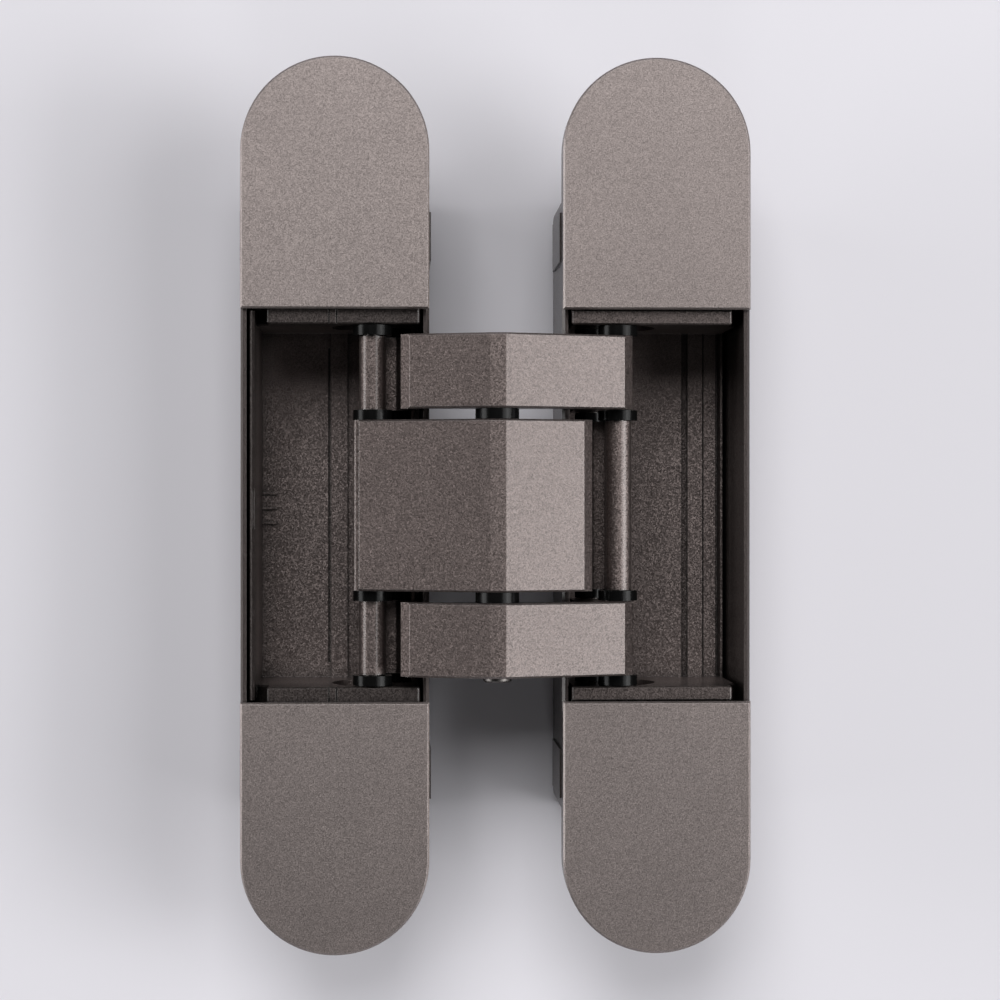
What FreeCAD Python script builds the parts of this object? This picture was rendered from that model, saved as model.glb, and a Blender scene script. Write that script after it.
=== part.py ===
import FreeCAD, Part
import math
import os

os.makedirs("parts", exist_ok=True)

V = FreeCAD.Vector

# Concealed door hinge, laid on its back and opened to 180 degrees.
# Millimetres. +Z is the normal of the face plates, Y runs along the pins,
# the frame half is at -X and the door half at +X. Z = 0 is the back of both housings.
# Each half is drawn in its own frame: x grows towards the other half from the
# centre line of the housing, z is 0 at the face of the covers and negative inside.

# Housings.
WIDTH = 25.2
LENGTH = 120.0
DEPTH = 25.0
OPEN_GAP = 17.9          # between the two housings when the hinge is open
COVER_T = 1.0
FLANGE_T = 3.0
FLANGE_LAP = 0.1         # the flange stands out past the box by this on each side
BOX_HALF = 43.0
BOX_CORNER = 2.5
BACK_CHAMFER = 0.6
WALL = 0.7
END_WALL = 1.4
FLOOR_T = 1.0
RIM_CHAMFER = 0.3
PAD_T = 0.35
PAD_LENGTH = 6.6
PAD_FROM_END = 3.4
PAD_FROM_BACK = 5.0
FIXING_HOLE_FROM_END = 9.0
FIXING_HOLE_R = 2.6
FIXING_SINK_R = 4.3
LOW_SIDE_DOWN = 1.2      # how far below the flange's top the side towards the other half is cut
LOW_SIDE_SLANT = 1.2

# Linkage, in the frame of one half, opened to 180 degrees.
FOLD = math.radians(85.0)
PIVOT_FROM_SIDE = 4.6
PIVOT_Z = -12.5
CENTRE_Z = 3.0
SLIDE_STEP = 3.02
SLIDE_Z = -3.8
PIN_R = 1.5
SLIDE_PIN_R = 1.25
RUN = 0.04

# Arms.
CREST = 3.17
CREST_HALF = 1.05
SLOPE = math.tan(math.radians(20.0))
PLATE_T = 2.7
HUB_R = 2.9
BARREL_R = 1.8
BARREL_GAP = 1.97        # clear width between a barrel and the end of its arm's plate
NECK_T = 2.4
BUSH_T = 0.45
MIDDLE_HALF = 11.42
ROW_GAP = 1.45
OUTER_LENGTH = 9.9
ARM_CHAMFER = 0.25
BEVEL_RUN = 1.2
BEVEL_DROP = 1.6
NOSE_T = 2.3
LIP_RUN = 0.7
LIP_DROP = 0.8

# Carriers.
ARM_TO_BLOCK = 1.55
BLOCK_T = 2.65
BLOCK_UNDER_COVER = 0.4
REBATE_Y = 0.2           # a block is lowered under its cover from this far inside the recess
COVER_LAP = 0.69         # how far a cover reaches over an end block
TRAY_CLEARANCE = 0.45
TRAY_WALL = 0.6
LIP_T = 0.25
TRAY_LIFT = 1.2
TRAY_FLOOR_T = 1.0
LIP_UNDER_COVER = 0.3
LOW_WALL_H = 5.3
FRAME_BLOCK_INSET = 2.2
DOOR_BLOCK_INSET = 1.05
ROLLER_R = 1.6
SLOT_PLAY = 0.2
EAR_TOP = -7.4
EAR_T = 3.2
EAR_CORNER = 1.5
GUSSET_T = 1.0
GUSSET_RUN = 0.9
BLOCK_STEP = 3.7         # height of the narrow upper part of an end block
BLOCK_CHAMFER = 0.2
SEAM_W = 0.18
SEAM_DEEP = 0.3
SEAM_STEP = 1.02
RIB_GROOVE_W = 0.3
RIB_GROOVE_GAP = 0.15
RIB_GROOVE_DEEP = 0.6
JOIN = 0.5                # how far pieces of one casting reach into each other
RIB_X0 = -1.0
RIB_X1 = 1.3
RIB_H = 0.7
SCALE_Y = -0.45
SCALE_LENGTH = 2.65
SCALE_W = 0.3
SCALE_H = 0.35

# Adjusters.
HEIGHT_TRAVEL = 2.1
SIDE_TRAVEL = 1.0
SCREW_FROM_END = 8.5
SCREW_R = 2.0
SCREW_HEAD_R = 3.5
SCREW_HEAD_T = 2.4
SCREW_CHAMFER = 0.4
HEX_ACROSS = 2.5
HEX_DEEP = 1.5
BOSS_R = 3.8
BOSS_WEB = 1.2
BOSS_DEEP = 9.5
SCREW_IN_BOSS = 8.0
CLIP_T = 0.7
CLIP_WIDE = 1.2
CLEARANCE = 0.1
HEIGHT_SCREW_FROM_WALL = 2.8
HEIGHT_SCREW_Z = -9.0
HEIGHT_SCREW_R = 1.5
HEIGHT_HEAD_R = 2.5
HEIGHT_HEAD_T = 2.4
HEIGHT_SOCKET_R = 1.2
HEIGHT_SOCKET_DEEP = 1.3
COLLAR_R = 2.3
COLLAR_T = 1.05
BRACKET_T = 1.5
BRACKET_TOP = -6.0
LUG_HALF = 1.95
LUG_DEEP = 3.0
LEG_T = 0.75
LEG_LENGTH = 4.0
LEG_DEEP = 4.5

# Sizes that follow from the ones above.
HALF_PITCH = (WIDTH + OPEN_GAP) / 2
BOX_WIDTH = WIDTH - 2 * FLANGE_LAP
BOX_IN = BOX_WIDTH / 2 - WALL
BOX_IN_Y = BOX_HALF - END_WALL
PIVOT_X = WIDTH / 2 - PIVOT_FROM_SIDE
SLIDE_X = PIVOT_X - SLIDE_STEP
OUTER_Y0 = MIDDLE_HALF + ROW_GAP
OUTER_Y1 = OUTER_Y0 + OUTER_LENGTH
BLOCK_Y0 = OUTER_Y1 + ARM_TO_BLOCK
BLOCK_Y1 = BLOCK_Y0 + BLOCK_T
BLOCK_TOP = -COVER_T - BLOCK_UNDER_COVER
RECESS_HALF = BLOCK_Y1 - COVER_LAP
REBATE_Y0 = RECESS_HALF - REBATE_Y
SOCKET = REBATE_Y0 - BLOCK_Y0 - CLEARANCE / 2
FIXING_HOLE_Y = LENGTH / 2 - FIXING_HOLE_FROM_END
TRAY_OUT = BOX_IN - TRAY_CLEARANCE
TRAY_BOTTOM = -DEPTH + FLOOR_T + TRAY_LIFT
TRAY_FLOOR_Z = TRAY_BOTTOM + TRAY_FLOOR_T
LOW_WALL_TOP = TRAY_FLOOR_Z + LOW_WALL_H
LIP_TOP = -COVER_T - LIP_UNDER_COVER
SCREW_Y = BOX_HALF - SCREW_FROM_END
EAR_Y = BOX_IN_Y - HEIGHT_TRAVEL - 5 * CLEARANCE
EAR_HALF = BOSS_R + 2 * BOSS_WEB
SCREW_HOLE_R = SCREW_R + 1.5 * CLEARANCE
HEIGHT_SCREW_X = -BOX_IN + HEIGHT_SCREW_FROM_WALL
BRACKET_Y1 = BOX_IN_Y - HEIGHT_HEAD_T - 9 * CLEARANCE
BRACKET_Y0 = BRACKET_Y1 - BRACKET_T
COLLAR_Y0 = BRACKET_Y0 - CLEARANCE - COLLAR_T
LUG_BORE_Y0 = BLOCK_Y1 - BLOCK_T / 2
LUG_Y1 = COLLAR_Y0 - HEIGHT_TRAVEL - 5 * CLEARANCE
FRAME_BOSS_TOP = EAR_TOP - EAR_T - CLEARANCE
DOOR_BOSS_TOP = EAR_TOP - EAR_T - CLIP_T - SIDE_TRAVEL - 4 * CLEARANCE

# Positions measured from the centre pin.
PIVOT_DX = HALF_PITCH - PIVOT_X
PIVOT_DZ = PIVOT_Z - CENTRE_Z
SLIDE_DX = HALF_PITCH - SLIDE_X
SLIDE_DZ = SLIDE_Z - CENTRE_Z

# A length longer than any piece is deep, for cuts that go right through.
THROUGH = 2 * DEPTH


def box(x0, x1, y0, y1, z0, z1):
    return Part.makeBox(x1 - x0, y1 - y0, z1 - z0, V(x0, y0, z0))


def cyl_y(x, z, r, y0, y1):
    return Part.makeCylinder(r, y1 - y0, V(x, y0, z), V(0, 1, 0))


def cyl_z(x, y, r, z0, z1):
    return Part.makeCylinder(r, z1 - z0, V(x, y, z0), V(0, 0, 1))


def ring_y(x, z, r_in, r_out, y0, y1):
    return cyl_y(x, z, r_out, y0, y1).cut(cyl_y(x, z, r_in, y0 - 1, y1 + 1))


def rounded_wire(corners):
    """A closed wire in the XZ plane through (x, z, radius) corners."""
    points = [V(c[0], 0, c[1]) for c in corners]
    count = len(points)
    spans = []
    for i in range(count):
        p = points[i]
        r = corners[i][2]
        to_prev = (points[i - 1] - p).normalize()
        to_next = (points[(i + 1) % count] - p).normalize()
        if r <= 0:
            spans.append((p, None, p))
            continue
        angle = to_prev.getAngle(to_next)
        reach = r / math.tan(angle / 2)
        bisector = (to_prev + to_next).normalize()
        middle = p + bisector * (r / math.sin(angle / 2) - r)
        spans.append((p + to_prev * reach, middle, p + to_next * reach))
    edges = []
    for i in range(count):
        start, middle, end = spans[i]
        if middle is not None:
            edges.append(Part.Arc(start, middle, end).toShape())
        following = spans[(i + 1) % count][0]
        if (following - end).Length > 1e-6:
            edges.append(Part.makeLine(end, following))
    return Part.Wire(edges)


def prism_y(corners, y0, y1):
    face = Part.Face(rounded_wire(corners))
    face.translate(V(0, y0, 0))
    return face.extrude(V(0, y1 - y0, 0))


def stadium(width, length, z0, z1):
    r = width / 2
    straight = length / 2 - r
    body = box(-r, r, -straight, straight, z0, z1)
    body = body.fuse(cyl_z(0, straight, r, z0, z1))
    body = body.fuse(cyl_z(0, -straight, r, z0, z1))
    return body.removeSplitter()


def rounded_box(half_x, half_y, r, z0, z1):
    body = box(-half_x, half_x, -half_y, half_y, z0, z1)
    corners = [e for e in body.Edges if abs(e.Vertexes[0].Z - e.Vertexes[-1].Z) > 1]
    return body.makeFillet(r, corners)


def both_ends(shape):
    """The shape and its mirror image at the other end of the hinge."""
    return [shape, shape.mirror(V(0, 0, 0), V(0, 1, 0))]


def frame_side(shape):
    moved = shape.copy()
    moved.translate(V(-HALF_PITCH, 0, DEPTH))
    return moved


def door_side(shape):
    return frame_side(shape).mirror(V(0, 0, 0), V(1, 0, 0))


def at_centre(shape):
    moved = shape.copy()
    moved.translate(V(0, 0, DEPTH + CENTRE_Z))
    return moved


def save(name, *solids):
    shape = solids[0] if len(solids) == 1 else Part.makeCompound(list(solids))
    shape.exportStep(os.path.join("parts", name + ".step"))


def slide_path(t):
    """Where the slide pin stands in its housing, t = 0 open and t = 1 closed."""
    a = FOLD * t
    b = (math.pi - FOLD) * t
    cx = PIVOT_X + PIVOT_DX * math.cos(a) + PIVOT_DZ * math.sin(a)
    cz = PIVOT_Z + PIVOT_DX * math.sin(a) - PIVOT_DZ * math.cos(a)
    x = cx - SLIDE_DX * math.cos(b) - SLIDE_DZ * math.sin(b)
    z = cz - SLIDE_DX * math.sin(b) + SLIDE_DZ * math.cos(b)
    return V(x, 0, z)


def slide_slot(r, y0, y1):
    """The curved slot that the slide roller follows, as an arc with round ends."""
    start, middle, end = slide_path(0.0), slide_path(0.5), slide_path(1.0)
    arc = Part.Arc(start, middle, end).toShape()
    centre = arc.Curve.Center

    def offset(p, d):
        out = (p - centre).normalize()
        return p + out * d

    def cap(p, sign):
        along = (p - centre).normalize().cross(V(0, 1, 0))
        return p + along * r * sign

    forward = (middle - start).dot((start - centre).cross(V(0, 1, 0))) > 0
    sign = 1.0 if forward else -1.0
    edges = [
        Part.Arc(offset(start, r), offset(middle, r), offset(end, r)).toShape(),
        Part.Arc(offset(end, r), cap(end, sign), offset(end, -r)).toShape(),
        Part.Arc(offset(end, -r), offset(middle, -r), offset(start, -r)).toShape(),
        Part.Arc(offset(start, -r), cap(start, -sign), offset(start, r)).toShape(),
    ]
    face = Part.Face(Part.Wire(edges))
    face.translate(V(0, y0, 0))
    return face.extrude(V(0, y1 - y0, 0))


# Arms.
def crest_height(x):
    return CREST - max(0.0, abs(x) - CREST_HALF) * SLOPE


def rim_tools(y0, y1):
    """Wedges that bevel the two ends of the sloping top faces."""
    c = ARM_CHAMFER
    tools = []
    for y, out in ((y1, 1), (y0, -1)):
        for x, run in ((-CREST_HALF, V(-THROUGH, 0, -THROUGH * SLOPE)),
                       (-CREST_HALF, V(2 * CREST_HALF, 0, 0)),
                       (CREST_HALF, V(THROUGH, 0, -THROUGH * SLOPE))):
            inner = V(x, y - out * (c + 1), CREST + 1)
            lower = V(x, y + out, CREST - c - 1)
            upper = V(x, y + out, CREST + 1)
            tools.append(Part.Face(Part.makePolygon([inner, lower, upper, inner])).extrude(run))
    return tools


def fixed_end_corners(end, lipped):
    """The end of the plate over the fixed pivot: a bevel, or a step with a rounded lip."""
    if lipped:
        top = crest_height(end)
        return [
            (end + LIP_RUN, top - NOSE_T, 0.5),
            (end + LIP_RUN, top - LIP_DROP, 0.5),
            (end, top - LIP_DROP, 0),
            (end, top, 0.15),
        ]
    return [
        (end, crest_height(end) - NOSE_T, 0.6),
        (end, crest_height(end - BEVEL_RUN) - BEVEL_DROP, 0.5),
        (end - BEVEL_RUN, crest_height(end - BEVEL_RUN), 0.2),
    ]


def arm(y0, y1, lipped=False):
    """One link. Slide end at -x, fixed end at +x, centre bore at the origin."""
    slide_end = -(SLIDE_DX - BARREL_R - BARREL_GAP)
    face_end = slide_end + BEVEL_RUN
    fixed_end = SLIDE_DX + BARREL_R
    inner = PIVOT_DX - HUB_R
    neck = inner + NECK_T
    knee = inner - 2.0
    shin = neck + 1.8
    web = SLIDE_DZ - BARREL_R - 0.5
    corners = [
        (-CREST_HALF, CREST, 0.4),
        (face_end, crest_height(face_end), 0.2),
        (slide_end, crest_height(face_end) - BEVEL_DROP, 0.5),
        (slide_end, crest_height(slide_end) - NOSE_T, 0.6),
        (slide_end + 1.0, crest_height(slide_end) - NOSE_T - 0.8, 0.5),
        (slide_end + 0.85, SLIDE_DZ - 0.9, 1.0),
        (slide_end - 0.6, web, 0.4),
        (-SLIDE_DX + BARREL_R / 2, web + 0.2, 0.3),
        (-SLIDE_DX, SLIDE_DZ - BARREL_R + 0.4, 0),
        (-SLIDE_DX, SLIDE_DZ - BARREL_R - 1.2, 0.6),
        (slide_end - 0.6, web - 1.35, 1.5),
        (-inner, SLIDE_DZ - 1.2, 1.2),
        (-inner, crest_height(inner) - PLATE_T - 0.5, 0.8),
        (-knee, crest_height(knee) - PLATE_T, 1.5),
        (-CREST_HALF - HUB_R / 2, -CREST + 0.2, 1.0),
        (CREST_HALF + HUB_R / 2, -CREST + 0.2, 1.0),
        (knee, crest_height(knee) - PLATE_T, 1.5),
        (inner, crest_height(inner) - PLATE_T - 0.5, 1.2),
        (inner, PIVOT_DZ, 0),
        (PIVOT_DX, PIVOT_DZ, 0),
        (PIVOT_DX + HUB_R - 0.5, PIVOT_DZ + HUB_R / 2, 0.4),
        (neck, SLIDE_DZ - 2.7, 1.0),
        (neck + 0.2, SLIDE_DZ + 0.6, 1.5),
        (shin, crest_height(shin) - PLATE_T, 1.0),
    ]
    corners += fixed_end_corners(fixed_end, lipped)
    corners.append((CREST_HALF, CREST, 0.4))
    body = prism_y(corners, y0, y1)
    body = body.fuse(cyl_y(0, 0, CREST - 0.02, y0, y1))
    body = body.fuse(cyl_y(-SLIDE_DX, SLIDE_DZ, BARREL_R, y0, y1))
    body = body.fuse(cyl_y(PIVOT_DX, PIVOT_DZ, HUB_R, y0, y1))
    body = body.removeSplitter()
    for tool in rim_tools(y0, y1):
        body = body.cut(tool)
    return body


def bored(body, y0, y1, centre_r, slide_r, fixed_r):
    body = body.cut(cyl_y(0, 0, centre_r, y0 - 1, y1 + 1))
    body = body.cut(cyl_y(-SLIDE_DX, SLIDE_DZ, slide_r, y0 - 1, y1 + 1))
    body = body.cut(cyl_y(PIVOT_DX, PIVOT_DZ, fixed_r, y0 - 1, y1 + 1))
    return body


BUSH_R = PIN_R + RUN + BUSH_T
upper_arm = bored(arm(OUTER_Y0, OUTER_Y1), OUTER_Y0, OUTER_Y1,
                  PIN_R + 0.01, SLIDE_PIN_R + 0.01, BUSH_R + 0.01)
lower_arm = upper_arm.mirror(V(0, 0, 0), V(0, 1, 0))
middle_arm = bored(arm(-MIDDLE_HALF, MIDDLE_HALF, True), -MIDDLE_HALF, MIDDLE_HALF,
                   BUSH_R + 0.01, SLIDE_PIN_R + 0.01, BUSH_R + 0.01)
middle_arm = middle_arm.mirror(V(0, 0, 0), V(1, 0, 0))
save("upper_arm", at_centre(upper_arm))
save("lower_arm", at_centre(lower_arm))
save("middle_arm", at_centre(middle_arm))


# Pins, bushes, washers and rollers.
PIN_HEAD_T = 0.6
PIN_HEAD_R = PIN_R + 0.4
PIN_CHAMFER = 0.2
WASHER_PLAY = 0.05
CENTRE_WASHER_R = 2.9
SLIDE_WASHER_R = 2.65
SPACER_R = 2.2


def pin(x, z, r, half):
    body = cyl_y(x, z, r, -half, half)
    ends = [e for e in body.Edges if e.BoundBox.YLength < 1e-4]
    return body.makeChamfer(PIN_CHAMFER, ends)


def headed_pin(r, half, head_r, head_t):
    """The centre pin: flush at the top, with a head below the lower arm."""
    body = pin(0, 0, r, half)
    head = cyl_y(0, 0, head_r, -half - head_t, -half)
    rim = [e for e in head.Edges if e.BoundBox.YMax < -half - head_t + 1e-4]
    return body.fuse(head.makeChamfer(PIN_CHAMFER, rim)).fuse(cyl_y(0, 0, r, -half, 0)).removeSplitter()


def bushes(x, z, y_ranges):
    return [ring_y(x, z, PIN_R + RUN, BUSH_R, y0, y1) for y0, y1 in y_ranges]


def row_washers(x, z, pin_r, r_out):
    washer = ring_y(x, z, pin_r + RUN, r_out, MIDDLE_HALF + WASHER_PLAY, OUTER_Y0 - WASHER_PLAY)
    return both_ends(washer)


save("centre_pin", at_centre(headed_pin(PIN_R, OUTER_Y1, PIN_HEAD_R, PIN_HEAD_T)))

slide_pin = pin(SLIDE_X, SLIDE_Z, SLIDE_PIN_R, BLOCK_Y0 + SOCKET - 1.5 * CLEARANCE)
save("frame_slide_pin", frame_side(slide_pin))
save("door_slide_pin", door_side(slide_pin))

fixed_pin = pin(PIVOT_X, PIVOT_Z, PIN_R, BLOCK_Y0 + SOCKET - CLEARANCE / 2)
save("frame_fixed_pin", frame_side(fixed_pin))
save("door_fixed_pin", door_side(fixed_pin))

MIDDLE_BUSHES = [(-MIDDLE_HALF, -MIDDLE_HALF / 3), (MIDDLE_HALF / 3, MIDDLE_HALF)]
OUTER_BUSHES = [(OUTER_Y0, OUTER_Y1), (-OUTER_Y1, -OUTER_Y0)]
save("middle_arm_bushes", *[frame_side(b) for b in bushes(PIVOT_X, PIVOT_Z, MIDDLE_BUSHES)])
save("outer_arm_bushes", *[door_side(b) for b in bushes(PIVOT_X, PIVOT_Z, OUTER_BUSHES)])
save("centre_bushes", *[at_centre(b) for b in bushes(0, 0, MIDDLE_BUSHES)])

save("centre_washers", *[at_centre(w) for w in row_washers(0, 0, PIN_R, CENTRE_WASHER_R)])
slide_washers = row_washers(SLIDE_X, SLIDE_Z, SLIDE_PIN_R, SLIDE_WASHER_R)
save("frame_slide_washers", *[frame_side(w) for w in slide_washers])
save("door_slide_washers", *[door_side(w) for w in slide_washers])

outer_spacer = ring_y(PIVOT_X, PIVOT_Z, PIN_R + RUN, SPACER_R, MIDDLE_HALF + CLEARANCE, BLOCK_Y0 - RUN)
middle_spacer = ring_y(PIVOT_X, PIVOT_Z, PIN_R + RUN, SPACER_R, -OUTER_Y0 + CLEARANCE, OUTER_Y0 - CLEARANCE)
end_spacer = ring_y(PIVOT_X, PIVOT_Z, PIN_R + RUN, SPACER_R, OUTER_Y1 + CLEARANCE, BLOCK_Y0 - RUN)
save("frame_pin_spacers", *[frame_side(s) for s in both_ends(outer_spacer)])
save("door_pin_spacers", *[door_side(s) for s in [middle_spacer] + both_ends(end_spacer)])

# Each roller runs in the slot of an end block and has a flange that keeps the arms off the block.
roller = cyl_y(SLIDE_X, SLIDE_Z, ROLLER_R, BLOCK_Y0 - 2 * CLEARANCE, BLOCK_Y0 + SOCKET - CLEARANCE)
flange = cyl_y(SLIDE_X, SLIDE_Z, SLIDE_WASHER_R, OUTER_Y1 + CLEARANCE, BLOCK_Y0 - CLEARANCE)
roller = roller.fuse(flange).cut(cyl_y(SLIDE_X, SLIDE_Z, SLIDE_PIN_R + RUN, 0, THROUGH)).removeSplitter()
save("frame_slide_rollers", *[frame_side(r) for r in both_ends(roller)])
save("door_slide_rollers", *[door_side(r) for r in both_ends(roller)])


# Housings.
def side_pads(body):
    """Thin pads on the four corners of the box that grip the routed pocket."""
    for side in (-1, 1):
        for end in (-1, 1):
            x0, x1 = sorted((side * (BOX_WIDTH / 2 - WALL / 2), side * (BOX_WIDTH / 2 + PAD_T)))
            outer = BOX_HALF - PAD_FROM_END
            y0, y1 = sorted((end * (outer - PAD_LENGTH), end * outer))
            body = body.fuse(box(x0, x1, y0, y1, -DEPTH + PAD_FROM_BACK, -COVER_T - FLANGE_T))
    return body


def recess_rims(body):
    """The cut-down side towards the other half, and the bevel along the outer side."""
    edge = WIDTH / 2 + 1
    low_top = -COVER_T - LOW_SIDE_DOWN
    low = BOX_IN + 0.4
    body = body.cut(prism_y([(BOX_IN - 1, 1, 0), (edge, 1, 0),
                             (edge, low_top - LOW_SIDE_SLANT, 0), (low, low_top, 0),
                             (BOX_IN - 1, low_top, 0)], -RECESS_HALF - 1.4, RECESS_HALF + 1.4))
    c = RIM_CHAMFER
    body = body.cut(prism_y([(-WIDTH / 2 - 1, -COVER_T + 1, 0), (-WIDTH / 2 + c + 1, -COVER_T + 1, 0),
                             (-WIDTH / 2 - 1, -COVER_T - c - 1, 0)], -RECESS_HALF, RECESS_HALF))
    return body


def screw_boss(y, top):
    bottom = -DEPTH + FLOOR_T / 2
    boss = cyl_z(0, y, BOSS_R, bottom, top)
    for side in (-1, 1):
        x0, x1 = sorted((side * (BOSS_R - 1), side * (BOX_IN + WALL / 3)))
        boss = boss.fuse(box(x0, x1, y - BOSS_WEB / 2, y + BOSS_WEB / 2, bottom, top - 2 * BOSS_WEB))
    return boss


def fixing_hole(y):
    sink = FIXING_SINK_R - FIXING_HOLE_R
    top = -COVER_T
    hole = cyl_z(0, y, FIXING_HOLE_R, top - FLANGE_T - 1, top + 1)
    cone = Part.makeCone(FIXING_HOLE_R, FIXING_SINK_R + 0.5, sink + 0.5, V(0, y, top - sink), V(0, 0, 1))
    return hole.fuse(cone)


def height_bracket():
    """Upright plate that carries the height screw, open at the top so that the screw drops in."""
    r = HEIGHT_SCREW_R + RUN
    plate = box(-BOX_IN - WALL / 3, -EAR_HALF - 3 * CLEARANCE, BRACKET_Y0, BRACKET_Y1,
                -DEPTH + FLOOR_T / 2, BRACKET_TOP)
    slot = cyl_y(HEIGHT_SCREW_X, HEIGHT_SCREW_Z, r, BRACKET_Y0 - 1, BRACKET_Y1 + 1)
    slot = slot.fuse(box(HEIGHT_SCREW_X - r, HEIGHT_SCREW_X + r, BRACKET_Y0 - 1, BRACKET_Y1 + 1,
                         HEIGHT_SCREW_Z, 0))
    return plate.cut(slot)


def housing(boss_top, with_bracket):
    body = rounded_box(BOX_WIDTH / 2, BOX_HALF, BOX_CORNER, -DEPTH, -COVER_T - FLANGE_T / 2)
    back = [e for e in body.Edges if e.BoundBox.ZMax < -DEPTH + 1e-4]
    body = body.makeChamfer(BACK_CHAMFER, back)
    body = stadium(WIDTH, LENGTH, -COVER_T - FLANGE_T, -COVER_T).fuse(body)
    body = side_pads(body)
    body = body.cut(rounded_box(BOX_IN, BOX_IN_Y, BOX_CORNER - WALL, -DEPTH + FLOOR_T, 1))
    body = recess_rims(body)
    for end in (-1, 1):
        y = end * SCREW_Y
        body = body.fuse(screw_boss(y, boss_top))
        body = body.cut(cyl_z(0, y, SCREW_R + RUN, boss_top - BOSS_DEEP, boss_top + 1))
        body = body.cut(fixing_hole(end * FIXING_HOLE_Y))
    if with_bracket:
        body = body.fuse(height_bracket())
    return body.removeSplitter()


save("frame_housing", frame_side(housing(FRAME_BOSS_TOP, True)))
save("door_housing", door_side(housing(DOOR_BOSS_TOP, False)))


def cover():
    plate = stadium(WIDTH, LENGTH, -COVER_T, 0)
    plate = plate.common(box(-WIDTH, WIDTH, RECESS_HALF, LENGTH, -COVER_T, 0))
    top = [e for e in plate.Edges if e.BoundBox.ZMin > -1e-4]
    plate = plate.makeChamfer(COVER_T / 4, top)
    for side in (-1, 1):
        wall = BOX_IN - 1.5 * CLEARANCE
        x0, x1 = sorted((side * wall, side * (wall - LEG_T)))
        y1 = SCREW_Y + LEG_LENGTH / 8
        leg = box(x0, x1, y1 - LEG_LENGTH, y1, -COVER_T - LEG_DEEP, -COVER_T / 2)
        tip = [e for e in leg.Edges if e.BoundBox.ZMax < -COVER_T - LEG_DEEP + 1e-3
               and e.BoundBox.XLength < 1e-4]
        plate = plate.fuse(leg.makeChamfer(LEG_T / 3, tip))
    return plate.removeSplitter()


cover_top = cover()
cover_bottom = cover_top.mirror(V(0, 0, 0), V(0, 1, 0))
save("frame_cover_top", frame_side(cover_top))
save("frame_cover_bottom", frame_side(cover_bottom))
save("door_cover_top", door_side(cover_top))
save("door_cover_bottom", door_side(cover_bottom))


# Carriers.
def tray(outer_top, lip_t):
    """The sheet trough between the end blocks, its outer wall thinned to a lip at the top."""
    out = TRAY_OUT
    inner_wall = out - TRAY_WALL
    corners = [
        (-out, outer_top, 0),
        (-out, TRAY_BOTTOM, 0.8),
        (out, TRAY_BOTTOM, 0.8),
        (out, LOW_WALL_TOP, 0),
        (inner_wall, LOW_WALL_TOP, 0),
        (inner_wall, TRAY_FLOOR_Z, 0.5),
        (-inner_wall, TRAY_FLOOR_Z, 0),
        (-inner_wall, outer_top - TRAY_WALL, 0),
        (-out + lip_t, outer_top, 0),
    ]
    half = RECESS_HALF - TRAY_CLEARANCE / 2
    return prism_y(corners, -half, half)


def end_block(inset, under_cover):
    """Solid end of a carrier with the ear that the clamping screw holds."""
    outer = -TRAY_OUT + inset
    step = BLOCK_TOP - BLOCK_STEP
    foot_r = TRAY_WALL + 0.2
    corners = [
        (outer, BLOCK_TOP, 0.4),
        (outer, step, 0.6),
        (-TRAY_OUT, step - 2, 0.6),
        (-TRAY_OUT, TRAY_BOTTOM + foot_r, 0),
        (-TRAY_OUT + foot_r, TRAY_BOTTOM, 0),
        (TRAY_OUT - foot_r, TRAY_BOTTOM, 0),
        (TRAY_OUT, TRAY_BOTTOM + foot_r, 0),
        (TRAY_OUT, BLOCK_TOP, 0.4),
    ]
    block = prism_y(corners, BLOCK_Y0, BLOCK_Y1)
    front = [e for e in block.Edges if e.BoundBox.ZMin > BLOCK_TOP - 1e-3
             and e.BoundBox.YLength < 1e-4 and e.BoundBox.YMax < BLOCK_Y0 + 1e-3]
    block = block.makeChamfer(BLOCK_CHAMFER, front)
    if under_cover > BLOCK_UNDER_COVER:
        block = block.cut(box(-WIDTH, WIDTH, REBATE_Y0, BLOCK_Y1 + 1, -COVER_T - under_cover, 0))
    root = BLOCK_Y1 - 2
    ear = rounded_box(EAR_HALF, (EAR_Y - root) / 2, EAR_CORNER, EAR_TOP - EAR_T, EAR_TOP)
    ear.translate(V(0, (EAR_Y + root) / 2, 0))
    block = block.fuse(ear)
    for side in (-1, 1):
        x0, x1 = sorted((side * (EAR_HALF - GUSSET_T), side * EAR_HALF))
        foot = EAR_TOP - EAR_T / 4
        head = BLOCK_TOP - 1.2
        back = BLOCK_Y1 - JOIN
        gusset = Part.makePolygon([V(x0, back, foot), V(x0, back, head), V(x0, back + GUSSET_RUN, head),
                                   V(x0, SCREW_Y - SCREW_HEAD_R, foot), V(x0, back, foot)])
        block = block.fuse(Part.Face(gusset).extrude(V(x1 - x0, 0, 0)))
    return block


def ear_hole(y, travel):
    """Hole for the clamping screw, long enough for the carrier's travel."""
    bottom = EAR_TOP - THROUGH
    if travel <= 0:
        return cyl_z(0, y, SCREW_HOLE_R, bottom, 0)
    reach = travel + CLEARANCE
    hole = box(-SCREW_HOLE_R, SCREW_HOLE_R, y - reach, y + reach, bottom, 0)
    for end in (-reach, reach):
        hole = hole.fuse(cyl_z(0, y + end, SCREW_HOLE_R, bottom, 0))
    return hole


def height_lug():
    """The nut of the height screw, part of the frame carrier's upper end."""
    return box(HEIGHT_SCREW_X - LUG_HALF, -EAR_HALF + JOIN, BLOCK_Y1 - JOIN, LUG_Y1,
               HEIGHT_SCREW_Z - LUG_DEEP, HEIGHT_SCREW_Z + LUG_DEEP)


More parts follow.
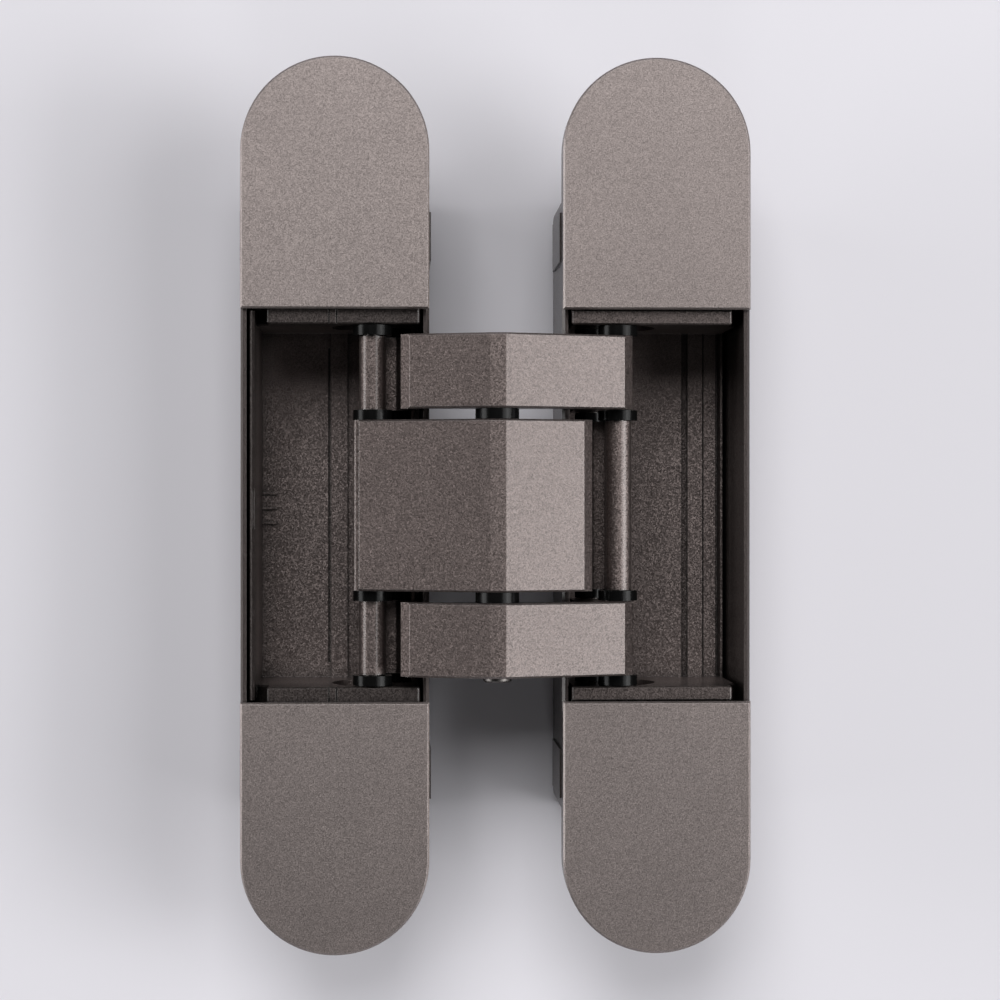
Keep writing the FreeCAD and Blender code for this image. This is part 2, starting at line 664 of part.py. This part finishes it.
def carrier(inset, travel, outer_top, lip_t, under_cover):
    body = tray(outer_top, lip_t)
    for sign, block in zip((1, -1), both_ends(end_block(inset, under_cover))):
        body = body.fuse(block)
        body = body.cut(ear_hole(sign * SCREW_Y, travel))
        y0, y1 = sorted((sign * (BLOCK_Y0 - 1), sign * (BLOCK_Y0 + SOCKET)))
        body = body.cut(slide_slot(ROLLER_R + SLOT_PLAY, y0, y1))
        body = body.cut(cyl_y(PIVOT_X, PIVOT_Z, PIN_R + RUN / 2, y0, y1))
    return body


def floor_strip(x0, x1, height):
    """A raised band along the tray's floor, from one end block to the other."""
    half = BLOCK_Y0 + CLEARANCE
    return box(x0, x1, -half, half, TRAY_FLOOR_Z - TRAY_FLOOR_T / 2, TRAY_FLOOR_Z + height)


def frame_carrier():
    body = carrier(FRAME_BLOCK_INSET, HEIGHT_TRAVEL, LIP_TOP, LIP_T, BLOCK_UNDER_COVER)
    body = body.fuse(height_lug())
    body = body.cut(cyl_y(HEIGHT_SCREW_X, HEIGHT_SCREW_Z, HEIGHT_SCREW_R + RUN, LUG_BORE_Y0, LUG_Y1 + 1))
    body = body.fuse(floor_strip(RIB_X0, RIB_X1, RIB_H))
    groove = OUTER_Y1 - JOIN
    groove_x = RIB_X0 - RIB_GROOVE_GAP
    body = body.cut(box(groove_x - RIB_GROOVE_W, groove_x, -groove, groove,
                        TRAY_FLOOR_Z - RIB_GROOVE_DEEP, TRAY_FLOOR_Z + 1))
    # the height scale: three ridges on the floor, one travel apart, and a notch in the lip beside them
    wall = -TRAY_OUT + TRAY_WALL
    for k in (-1, 0, 1):
        y = SCALE_Y + k * HEIGHT_TRAVEL
        body = body.fuse(box(wall - TRAY_WALL / 3, wall + SCALE_LENGTH - TRAY_WALL, y - SCALE_W / 2,
                             y + SCALE_W / 2, TRAY_FLOOR_Z - TRAY_FLOOR_T / 2, TRAY_FLOOR_Z + SCALE_H))
    notch = HEIGHT_TRAVEL + 2 * SCALE_W
    body = body.cut(box(wall - TRAY_WALL / 2, wall + 1, SCALE_Y - notch, SCALE_Y + notch,
                        LIP_TOP - 1, LIP_TOP + 1))
    # two fine seam grooves across the top of each end block
    for x in (RIB_X0 + SEAM_W, RIB_X0 + SEAM_W + SEAM_STEP):
        for sign in (-1, 1):
            y0, y1 = sorted((sign * (BLOCK_Y0 - 1), sign * (BLOCK_Y1 + 1)))
            body = body.cut(box(x - SEAM_W / 2, x + SEAM_W / 2, y0, y1, BLOCK_TOP - SEAM_DEEP, BLOCK_TOP + 1))
    return body.removeSplitter()


# Raised bands on the door tray's floor: from x, to x, height.
DOOR_STRIPS = [(-10.4, -8.7, 0.8), (-8.5, -6.4, 1.15), (-5.5, 5.0, 1.25)]


def door_carrier():
    body = carrier(DOOR_BLOCK_INSET, 0, TRAY_FLOOR_Z + 1.2, TRAY_WALL / 2, SIDE_TRAVEL + 3 * CLEARANCE)
    for x0, x1, height in DOOR_STRIPS:
        body = body.fuse(floor_strip(x0, x1, height))
    return body.removeSplitter()


save("frame_carrier", frame_side(frame_carrier()))
save("door_carrier", door_side(door_carrier()))


# Adjusting and clamping screws.
def hex_socket(y):
    r = HEX_ACROSS / math.sqrt(3)
    corners = []
    for k in range(7):
        turn = math.radians(60 * k)
        corners.append(V(r * math.cos(turn), y + r * math.sin(turn), EAR_TOP + SCREW_HEAD_T - HEX_DEEP))
    return Part.Face(Part.makePolygon(corners)).extrude(V(0, 0, HEX_DEEP + 1))


def ear_screw(y, z_tip):
    """Cap screw through the ear of a carrier into the boss of its housing."""
    head = cyl_z(0, y, SCREW_HEAD_R, EAR_TOP + 0.02, EAR_TOP + SCREW_HEAD_T)
    rim = [e for e in head.Edges if e.BoundBox.ZMin > EAR_TOP + SCREW_HEAD_T - 1e-3]
    head = head.makeChamfer(SCREW_CHAMFER, rim)
    shank = cyl_z(0, y, SCREW_R, z_tip, EAR_TOP + JOIN)
    tip = [e for e in shank.Edges if e.BoundBox.ZMax < z_tip + 1e-3]
    shank = shank.makeChamfer(SCREW_CHAMFER, tip)
    return head.fuse(shank).cut(hex_socket(y)).removeSplitter()


def screw_clip(y):
    """Open ring under the ear that keeps the side screw at its height."""
    top = EAR_TOP - EAR_T - RUN
    clip = cyl_z(0, y, SCREW_R + CLIP_WIDE, top - CLIP_T, top)
    clip = clip.cut(cyl_z(0, y, SCREW_R + 0.01, top - CLIP_T - 1, top + 1))
    mouth = SCREW_R + 2 * CLIP_WIDE
    return clip.cut(box(0, mouth, y - CLIP_WIDE, y + CLIP_WIDE, top - CLIP_T - 1, top + 1))


save("frame_clamp_screws",
     *[frame_side(ear_screw(sign * SCREW_Y, FRAME_BOSS_TOP - SCREW_IN_BOSS)) for sign in (1, -1)])
for name, sign in (("top", 1), ("bottom", -1)):
    side_screw = ear_screw(sign * SCREW_Y, DOOR_BOSS_TOP - SCREW_IN_BOSS + SIDE_TRAVEL)
    save("side_screw_" + name, door_side(side_screw))
    save("side_screw_clip_" + name, door_side(screw_clip(sign * SCREW_Y)))


def height_screw():
    """Screw along Y with a collar and a head, one on each side of its bracket."""
    x, z = HEIGHT_SCREW_X, HEIGHT_SCREW_Z
    head_y = BRACKET_Y1 + CLEARANCE
    body = cyl_y(x, z, HEIGHT_SCREW_R, LUG_BORE_Y0 + HEIGHT_TRAVEL + 2 * CLEARANCE, head_y + 1)
    body = body.fuse(cyl_y(x, z, COLLAR_R, COLLAR_Y0, COLLAR_Y0 + COLLAR_T))
    body = body.fuse(cyl_y(x, z, HEIGHT_HEAD_R, head_y, head_y + HEIGHT_HEAD_T))
    socket_y = head_y + HEIGHT_HEAD_T - HEIGHT_SOCKET_DEEP
    return body.cut(cyl_y(x, z, HEIGHT_SOCKET_R, socket_y, socket_y + HEIGHT_HEAD_T)).removeSplitter()


save("height_screw", frame_side(height_screw()))
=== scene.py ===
import bpy
from mathutils import Matrix, Vector

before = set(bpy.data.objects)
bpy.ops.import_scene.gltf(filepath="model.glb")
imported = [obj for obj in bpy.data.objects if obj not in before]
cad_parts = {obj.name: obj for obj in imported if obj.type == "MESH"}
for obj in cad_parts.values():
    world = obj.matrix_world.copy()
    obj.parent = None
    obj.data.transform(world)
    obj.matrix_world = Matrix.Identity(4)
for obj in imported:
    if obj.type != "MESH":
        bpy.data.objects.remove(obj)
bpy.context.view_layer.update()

MM = 0.001
WHITE = (1.0, 1.0, 1.0)

# Height of the covers' faces above the backs of the housings.
FACE_Z = 25 * MM

# Paint of the covers, between these two tones, and where it is worn along an edge.
PAINT_DARK = (0.215, 0.184, 0.175)
PAINT_LIGHT = (0.380, 0.328, 0.314)
WORN_PAINT = (0.62, 0.60, 0.58)

# The arms, carriers and housings are a little redder than the covers, and dimmed to these shares. The
# housings have the covers' paint; their share is painted shade for the dark inside of the hinge.
INNER_TINT = (1.0, 0.95, 0.94)
ARM_SHARE = 0.57
HOUSING_SHADE_SHARE = 0.22
FRAME_CARRIER_SHARE = 0.57
DOOR_CARRIER_SHARE = 0.62

# Grain of the paint: cells to the metre, and the part of each noise between its two extremes.
FLAKES = 6900.0
FLAKE_MEAN = 0.5
SPECKS = 6000.0
SPECK_ROUGHNESS = 0.6
SPECK_SPAN = (0.32, 0.68)
CLOUDS = 60.0
CLOUD_SHARE = 0.92
WIDE_SPAN = (0.3, 0.7)
GLOSS_SPREAD = 0.06
COAT_ROUGHNESS = 0.15

# Painted shade in narrow gaps: how far each point looks around itself, and the darkest share.
GAP_SHADE_REACH = 3.5 * MM
GAP_SHADE_SPAN = (0.15, 0.75)
GAP_SHADE_SHARE = 0.12

# Painted shade: the carriers get darker from the first to the second of these shares of FACE_Z, near the
# mouth of the recess under the covers.
TOP_SHADE_SPAN = (0.55, 0.85)

# Edges: the width of the wear and how sharply it starts, and the radius that the light sees.
WEAR_WIDTH = 0.22 * MM
WEAR_CONTRAST = 4.0
EDGE_ROUND = 0.12 * MM

# Rays that the shaders send out at each point.
BEVEL_SAMPLES = 4
GAP_SHADE_SAMPLES = 6

# Turned pins, bushes and screws.
PIN_COLOUR = (0.14, 0.13, 0.125)
SCREW_COLOUR = (0.50, 0.50, 0.51)
BUSH_COLOUR = (0.45, 0.31, 0.15)
TURNING_MARKS = 7200.0
MARKS_STRETCH = (0.15, 1.0, 0.15)
MARKS_STRENGTH = 0.15
MARKS_SMOOTHER = 0.05
MARKS_ROUGHER = 0.08
STAINS = 300.0
STAIN_SPAN = (0.35, 0.65)
STAIN_SHARE = 0.8

# Moulded nylon.
NYLON_COLOUR = (0.005, 0.005, 0.005)
NYLON_GRAIN = 4000.0
NYLON_GRAIN_STRENGTH = 0.2
NYLON_CLOUDS = 400.0
NYLON_SHARE = 0.7

# Depth of the grain.
PAINT_BUMP = 0.05 * MM
FINE_BUMP = 0.03 * MM

# Floor, and the lamps: place in metres, side of the square lamp, power in watts.
FLOOR_HALF = 3.0
FLOOR_COLOUR = (0.77, 0.755, 0.80)
LAMPS = {
    "back": ((-0.14, 0.90, 1.53), 0.90, 14.4),
    "back_low": ((-0.20, 1.26, 1.26), 0.90, 3.5),
    "right": ((1.19, 0.18, 1.35), 0.90, 9.5),
    "right_low": ((1.57, -0.25, 0.90), 0.90, 15.6),
    "left_low": ((-1.73, 0.09, 0.47), 0.90, 14.2),
    "front": ((0.0, -1.57, 0.90), 0.30, 2.3),
}
SKY_COLOUR = (0.95, 0.96, 1.0)
SKY_STRENGTH = 0.02

# Camera: it stands a little left of the middle and looks almost straight down on the covers.
CAMERA_AT = (-13.1 * MM, 0.7 * MM, FACE_Z + 345 * MM)
LOOK_AT = (0.48 * MM, 0.73 * MM, FACE_Z)
FRAME_WIDTH = 133.6 * MM
SENSOR_WIDTH = 36.0
NEAREST = 0.01


# Materials.
def grey(value):
    return (value, value, value)


def scaled(colour, share):
    return tuple(c * share for c in colour)


def inner_paint(share):
    """Both tones of the paint inside the hinge."""
    return [tuple(c * share * t for c, t in zip(tone, INNER_TINT)) for tone in (PAINT_DARK, PAINT_LIGHT)]


def new_material(name):
    mat = bpy.data.materials.new(name)
    mat.use_nodes = True
    mat.node_tree.nodes.clear()
    return mat, mat.node_tree


def add(tree, kind, **settings):
    node = tree.nodes.new(kind)
    for key, value in settings.items():
        setattr(node, key, value)
    return node


def finish_surface(tree, shader):
    out = add(tree, "ShaderNodeOutputMaterial")
    tree.links.new(shader.outputs["BSDF"], out.inputs["Surface"])


def object_coords(tree):
    return add(tree, "ShaderNodeTexCoord").outputs["Object"]


def noise(tree, coords, scale, detail, rough=0.5):
    node = add(tree, "ShaderNodeTexNoise")
    node.inputs["Scale"].default_value = scale
    node.inputs["Detail"].default_value = detail
    node.inputs["Roughness"].default_value = rough
    tree.links.new(coords, node.inputs["Vector"])
    return node.outputs["Fac"]


def ramp(tree, factor, span, first, second):
    """From the first colour to the second while the factor crosses the span."""
    node = add(tree, "ShaderNodeValToRGB")
    for element, place, colour in zip(node.color_ramp.elements, span, (first, second)):
        element.position = place
        element.color = (*colour, 1.0)
    tree.links.new(factor, node.inputs["Fac"])
    return node.outputs["Color"]


def maths(tree, operation, first, second):
    node = add(tree, "ShaderNodeMath", operation=operation)
    for socket, value in zip(node.inputs, (first, second)):
        if isinstance(value, (int, float)):
            socket.default_value = value
        else:
            tree.links.new(value, socket)
    return node.outputs["Value"]


def vector_maths(tree, operation, first, second=None):
    node = add(tree, "ShaderNodeVectorMath", operation=operation)
    tree.links.new(first, node.inputs[0])
    if isinstance(second, tuple):
        node.inputs[1].default_value = second
    elif isinstance(second, float):
        node.inputs["Scale"].default_value = second
    elif second is not None:
        tree.links.new(second, node.inputs[1])
    return node.outputs["Value" if operation == "DOT_PRODUCT" else "Vector"]


def multiplied(tree, first, second):
    """The product of two colours."""
    node = add(tree, "ShaderNodeMix", data_type="RGBA", blend_type="MULTIPLY")
    node.inputs["Factor"].default_value = 1.0
    tree.links.new(first, node.inputs["A"])
    tree.links.new(second, node.inputs["B"])
    return node.outputs["Result"]


def rounded_normal(tree, radius):
    bevel = add(tree, "ShaderNodeBevel", samples=BEVEL_SAMPLES)
    bevel.inputs["Radius"].default_value = radius
    return bevel.outputs["Normal"]


def bump(tree, height, strength, distance, normal=None):
    node = add(tree, "ShaderNodeBump")
    node.inputs["Strength"].default_value = strength
    node.inputs["Distance"].default_value = distance
    tree.links.new(height, node.inputs["Height"])
    if normal:
        tree.links.new(normal, node.inputs["Normal"])
    return node.outputs["Normal"]


def edge_mask(tree, radius):
    """1 along sharp edges, 0 on flat faces: how far a rounded normal leaves the true one."""
    geometry = add(tree, "ShaderNodeNewGeometry")
    dot = vector_maths(tree, "DOT_PRODUCT", rounded_normal(tree, radius), geometry.outputs["Normal"])
    wide = maths(tree, "MULTIPLY", maths(tree, "SUBTRACT", 1.0, dot), WEAR_CONTRAST)
    return maths(tree, "MINIMUM", wide, 1.0)


def flake_paint(name, tones, metal, rough, flake, grain=0.10, edge=0.35, coat=0.4, top_shade_share=1.0):
    """Sprayed metallic paint: fine flakes that each face their own way, soft cloudiness and worn edges.

    Narrow gaps are darker, as painted shade where nearby surfaces close in. The top share darkens what
    lies near the mouth of the recess, as painted shade under the covers.
    """
    mat, tree = new_material(name)
    coords = object_coords(tree)
    cells = add(tree, "ShaderNodeTexVoronoi")
    cells.inputs["Scale"].default_value = FLAKES
    tree.links.new(coords, cells.inputs["Vector"])
    specks = noise(tree, coords, SPECKS, detail=2.0, rough=SPECK_ROUGHNESS)
    colour = ramp(tree, specks, SPECK_SPAN, *tones)
    clouds = noise(tree, coords, CLOUDS, detail=3.0)
    colour = multiplied(tree, colour, ramp(tree, clouds, WIDE_SPAN, grey(CLOUD_SHARE), WHITE))
    # Painted shade: darker where nearby surfaces close in round a point.
    gap_shade = add(tree, "ShaderNodeAmbientOcclusion", samples=GAP_SHADE_SAMPLES, inside=False)
    gap_shade.inputs["Distance"].default_value = GAP_SHADE_REACH
    colour = multiplied(tree, colour, ramp(tree, gap_shade.outputs["AO"], GAP_SHADE_SPAN, grey(GAP_SHADE_SHARE), WHITE))
    # Painted shade: the upper part of the carrier, near the covers, is darkened.
    if top_shade_share < 1.0:
        split = add(tree, "ShaderNodeSeparateXYZ")
        tree.links.new(coords, split.inputs["Vector"])
        height = maths(tree, "DIVIDE", split.outputs["Z"], FACE_Z)
        colour = multiplied(tree, colour, ramp(tree, height, TOP_SHADE_SPAN, WHITE, grey(top_shade_share)))
    worn = add(tree, "ShaderNodeMix", data_type="RGBA", blend_type="MIX")
    tree.links.new(maths(tree, "MULTIPLY", edge_mask(tree, WEAR_WIDTH), edge), worn.inputs["Factor"])
    tree.links.new(colour, worn.inputs["A"])
    worn.inputs["B"].default_value = (*WORN_PAINT, 1.0)
    # each flake tips the normal a little
    tip = vector_maths(tree, "SUBTRACT", cells.outputs["Color"], grey(FLAKE_MEAN))
    tip = vector_maths(tree, "SCALE", tip, flake)
    skew = vector_maths(tree, "ADD", rounded_normal(tree, EDGE_ROUND), tip)
    normal = bump(tree, specks, grain, PAINT_BUMP, vector_maths(tree, "NORMALIZE", skew))
    gloss = ramp(tree, specks, WIDE_SPAN, grey(rough - GLOSS_SPREAD), grey(rough + GLOSS_SPREAD))
    shader = add(tree, "ShaderNodeBsdfPrincipled")
    shader.inputs["Metallic"].default_value = metal
    shader.inputs["Coat Weight"].default_value = coat
    shader.inputs["Coat Roughness"].default_value = COAT_ROUGHNESS
    tree.links.new(worn.outputs["Result"], shader.inputs["Base Color"])
    tree.links.new(gloss, shader.inputs["Roughness"])
    tree.links.new(normal, shader.inputs["Normal"])
    finish_surface(tree, shader)
    return mat


def turned_metal(name, colour, rough):
    """Ground steel or bronze: fine turning marks round the axis and slight staining."""
    mat, tree = new_material(name)
    coords = object_coords(tree)
    stretch = add(tree, "ShaderNodeMapping")
    stretch.inputs["Scale"].default_value = MARKS_STRETCH
    tree.links.new(coords, stretch.inputs["Vector"])
    marks = noise(tree, stretch.outputs["Vector"], TURNING_MARKS, detail=2.0)
    stains = noise(tree, coords, STAINS, detail=3.0)
    base = ramp(tree, stains, STAIN_SPAN, scaled(colour, STAIN_SHARE), colour)
    gloss = ramp(tree, marks, WIDE_SPAN, grey(rough - MARKS_SMOOTHER), grey(rough + MARKS_ROUGHER))
    normal = bump(tree, marks, MARKS_STRENGTH, FINE_BUMP)
    shader = add(tree, "ShaderNodeBsdfPrincipled")
    shader.inputs["Metallic"].default_value = 1.0
    tree.links.new(base, shader.inputs["Base Color"])
    tree.links.new(gloss, shader.inputs["Roughness"])
    tree.links.new(normal, shader.inputs["Normal"])
    finish_surface(tree, shader)
    return mat


def black_plastic(name, colour, rough, shine):
    """Moulded nylon: near black, with a fine eroded grain."""
    mat, tree = new_material(name)
    coords = object_coords(tree)
    clouds = noise(tree, coords, NYLON_CLOUDS, detail=2.0)
    base = ramp(tree, clouds, WIDE_SPAN, scaled(colour, NYLON_SHARE), colour)
    grain = noise(tree, coords, NYLON_GRAIN, detail=3.0)
    normal = bump(tree, grain, NYLON_GRAIN_STRENGTH, FINE_BUMP)
    shader = add(tree, "ShaderNodeBsdfPrincipled")
    shader.inputs["Roughness"].default_value = rough
    shader.inputs["Specular IOR Level"].default_value = shine
    tree.links.new(base, shader.inputs["Base Color"])
    tree.links.new(normal, shader.inputs["Normal"])
    finish_surface(tree, shader)
    return mat


FINISHES = {
    flake_paint("cover_paint", (PAINT_DARK, PAINT_LIGHT), metal=1.0, rough=0.50, flake=0.14): [
        "frame_cover_top", "frame_cover_bottom", "door_cover_top", "door_cover_bottom"],
    flake_paint("arm_paint", inner_paint(ARM_SHARE), metal=1.0, rough=0.50, flake=0.34,
                grain=0.2, coat=0.5): [
        "upper_arm", "middle_arm", "lower_arm"],
    # The housings' paint is dimmed as painted shade.
    flake_paint("shaded_body_paint", inner_paint(HOUSING_SHADE_SHARE), metal=0.8, rough=0.52, flake=0.25,
                edge=0.05): [
        "frame_housing", "door_housing"],
    # The carriers' top share is painted shade near the covers.
    flake_paint("frame_carrier_paint", inner_paint(FRAME_CARRIER_SHARE), metal=0.8, rough=0.52, flake=0.44,
                edge=0.12, top_shade_share=0.3): [
        "frame_carrier"],
    flake_paint("door_carrier_paint", inner_paint(DOOR_CARRIER_SHARE), metal=0.8, rough=0.52, flake=0.44,
                edge=0.12, top_shade_share=0.5): [
        "door_carrier"],
    turned_metal("pin_metal", PIN_COLOUR, rough=0.38): [
        "centre_pin", "frame_fixed_pin", "door_fixed_pin", "frame_slide_pin", "door_slide_pin"],
    turned_metal("screw_metal", SCREW_COLOUR, rough=0.30): [
        "frame_clamp_screws", "height_screw", "side_screw_top", "side_screw_bottom",
        "side_screw_clip_top", "side_screw_clip_bottom"],
    turned_metal("bush_metal", BUSH_COLOUR, rough=0.42): [
        "middle_arm_bushes", "outer_arm_bushes", "centre_bushes"],
    black_plastic("nylon", NYLON_COLOUR, rough=0.22, shine=0.12): [
        "centre_washers", "frame_slide_washers", "door_slide_washers",
        "frame_slide_rollers", "door_slide_rollers", "frame_pin_spacers", "door_pin_spacers"],
}
for material, names in FINISHES.items():
    for name in names:
        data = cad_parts[name].data
        data.materials.clear()
        data.materials.append(material)


# Stage, light and camera.
def linked(name, data):
    obj = bpy.data.objects.new(name, data)
    bpy.context.collection.objects.link(obj)
    return obj


def stage_floor():
    mesh = bpy.data.meshes.new("floor")
    s = FLOOR_HALF
    mesh.from_pydata([(-s, -s, 0), (s, -s, 0), (s, s, 0), (-s, s, 0)], [], [(0, 1, 2, 3)])
    mat, tree = new_material("floor_white")
    shader = add(tree, "ShaderNodeBsdfDiffuse")
    shader.inputs["Color"].default_value = (*FLOOR_COLOUR, 1.0)
    finish_surface(tree, shader)
    mesh.materials.append(mat)
    floor = linked("floor", mesh)


def square_lamp(name, place, side, power):
    """A square lamp that faces the middle of the covers."""
    lamp = bpy.data.lights.new(name, "AREA")
    lamp.shape = "RECTANGLE"
    lamp.size = side
    lamp.size_y = side
    lamp.energy = power
    obj = linked(name, lamp)
    obj.location = place
    aim = Vector((0, 0, FACE_Z)) - Vector(place)
    obj.rotation_euler = aim.to_track_quat("-Z", "Y").to_euler()


def plain_sky():
    world = bpy.data.worlds.new("studio")
    bpy.context.scene.world = world
    world.use_nodes = True
    sky = world.node_tree.nodes["Background"]
    sky.inputs["Color"].default_value = (*SKY_COLOUR, 1.0)
    sky.inputs["Strength"].default_value = SKY_STRENGTH


def place_camera():
    """Aimed with its upper edge square to Y, so that the hinge stands upright in the frame."""
    data = bpy.data.cameras.new("camera")
    camera = linked("camera", data)
    camera.location = CAMERA_AT
    aim = Vector(LOOK_AT) - Vector(CAMERA_AT)
    forward = aim.normalized()
    right = forward.cross(Vector((0, 1, 0))).normalized()
    camera.rotation_euler = Matrix((right, right.cross(forward), -forward)).transposed().to_euler()
    data.sensor_width = SENSOR_WIDTH
    data.lens = SENSOR_WIDTH * aim.length / FRAME_WIDTH
    data.clip_start = NEAREST
    bpy.context.scene.camera = camera


stage_floor()
for name, (place, side, power) in LAMPS.items():
    square_lamp(name, place, side, power)
plain_sky()
place_camera()
bpy.context.scene.view_settings.view_transform = "Standard"
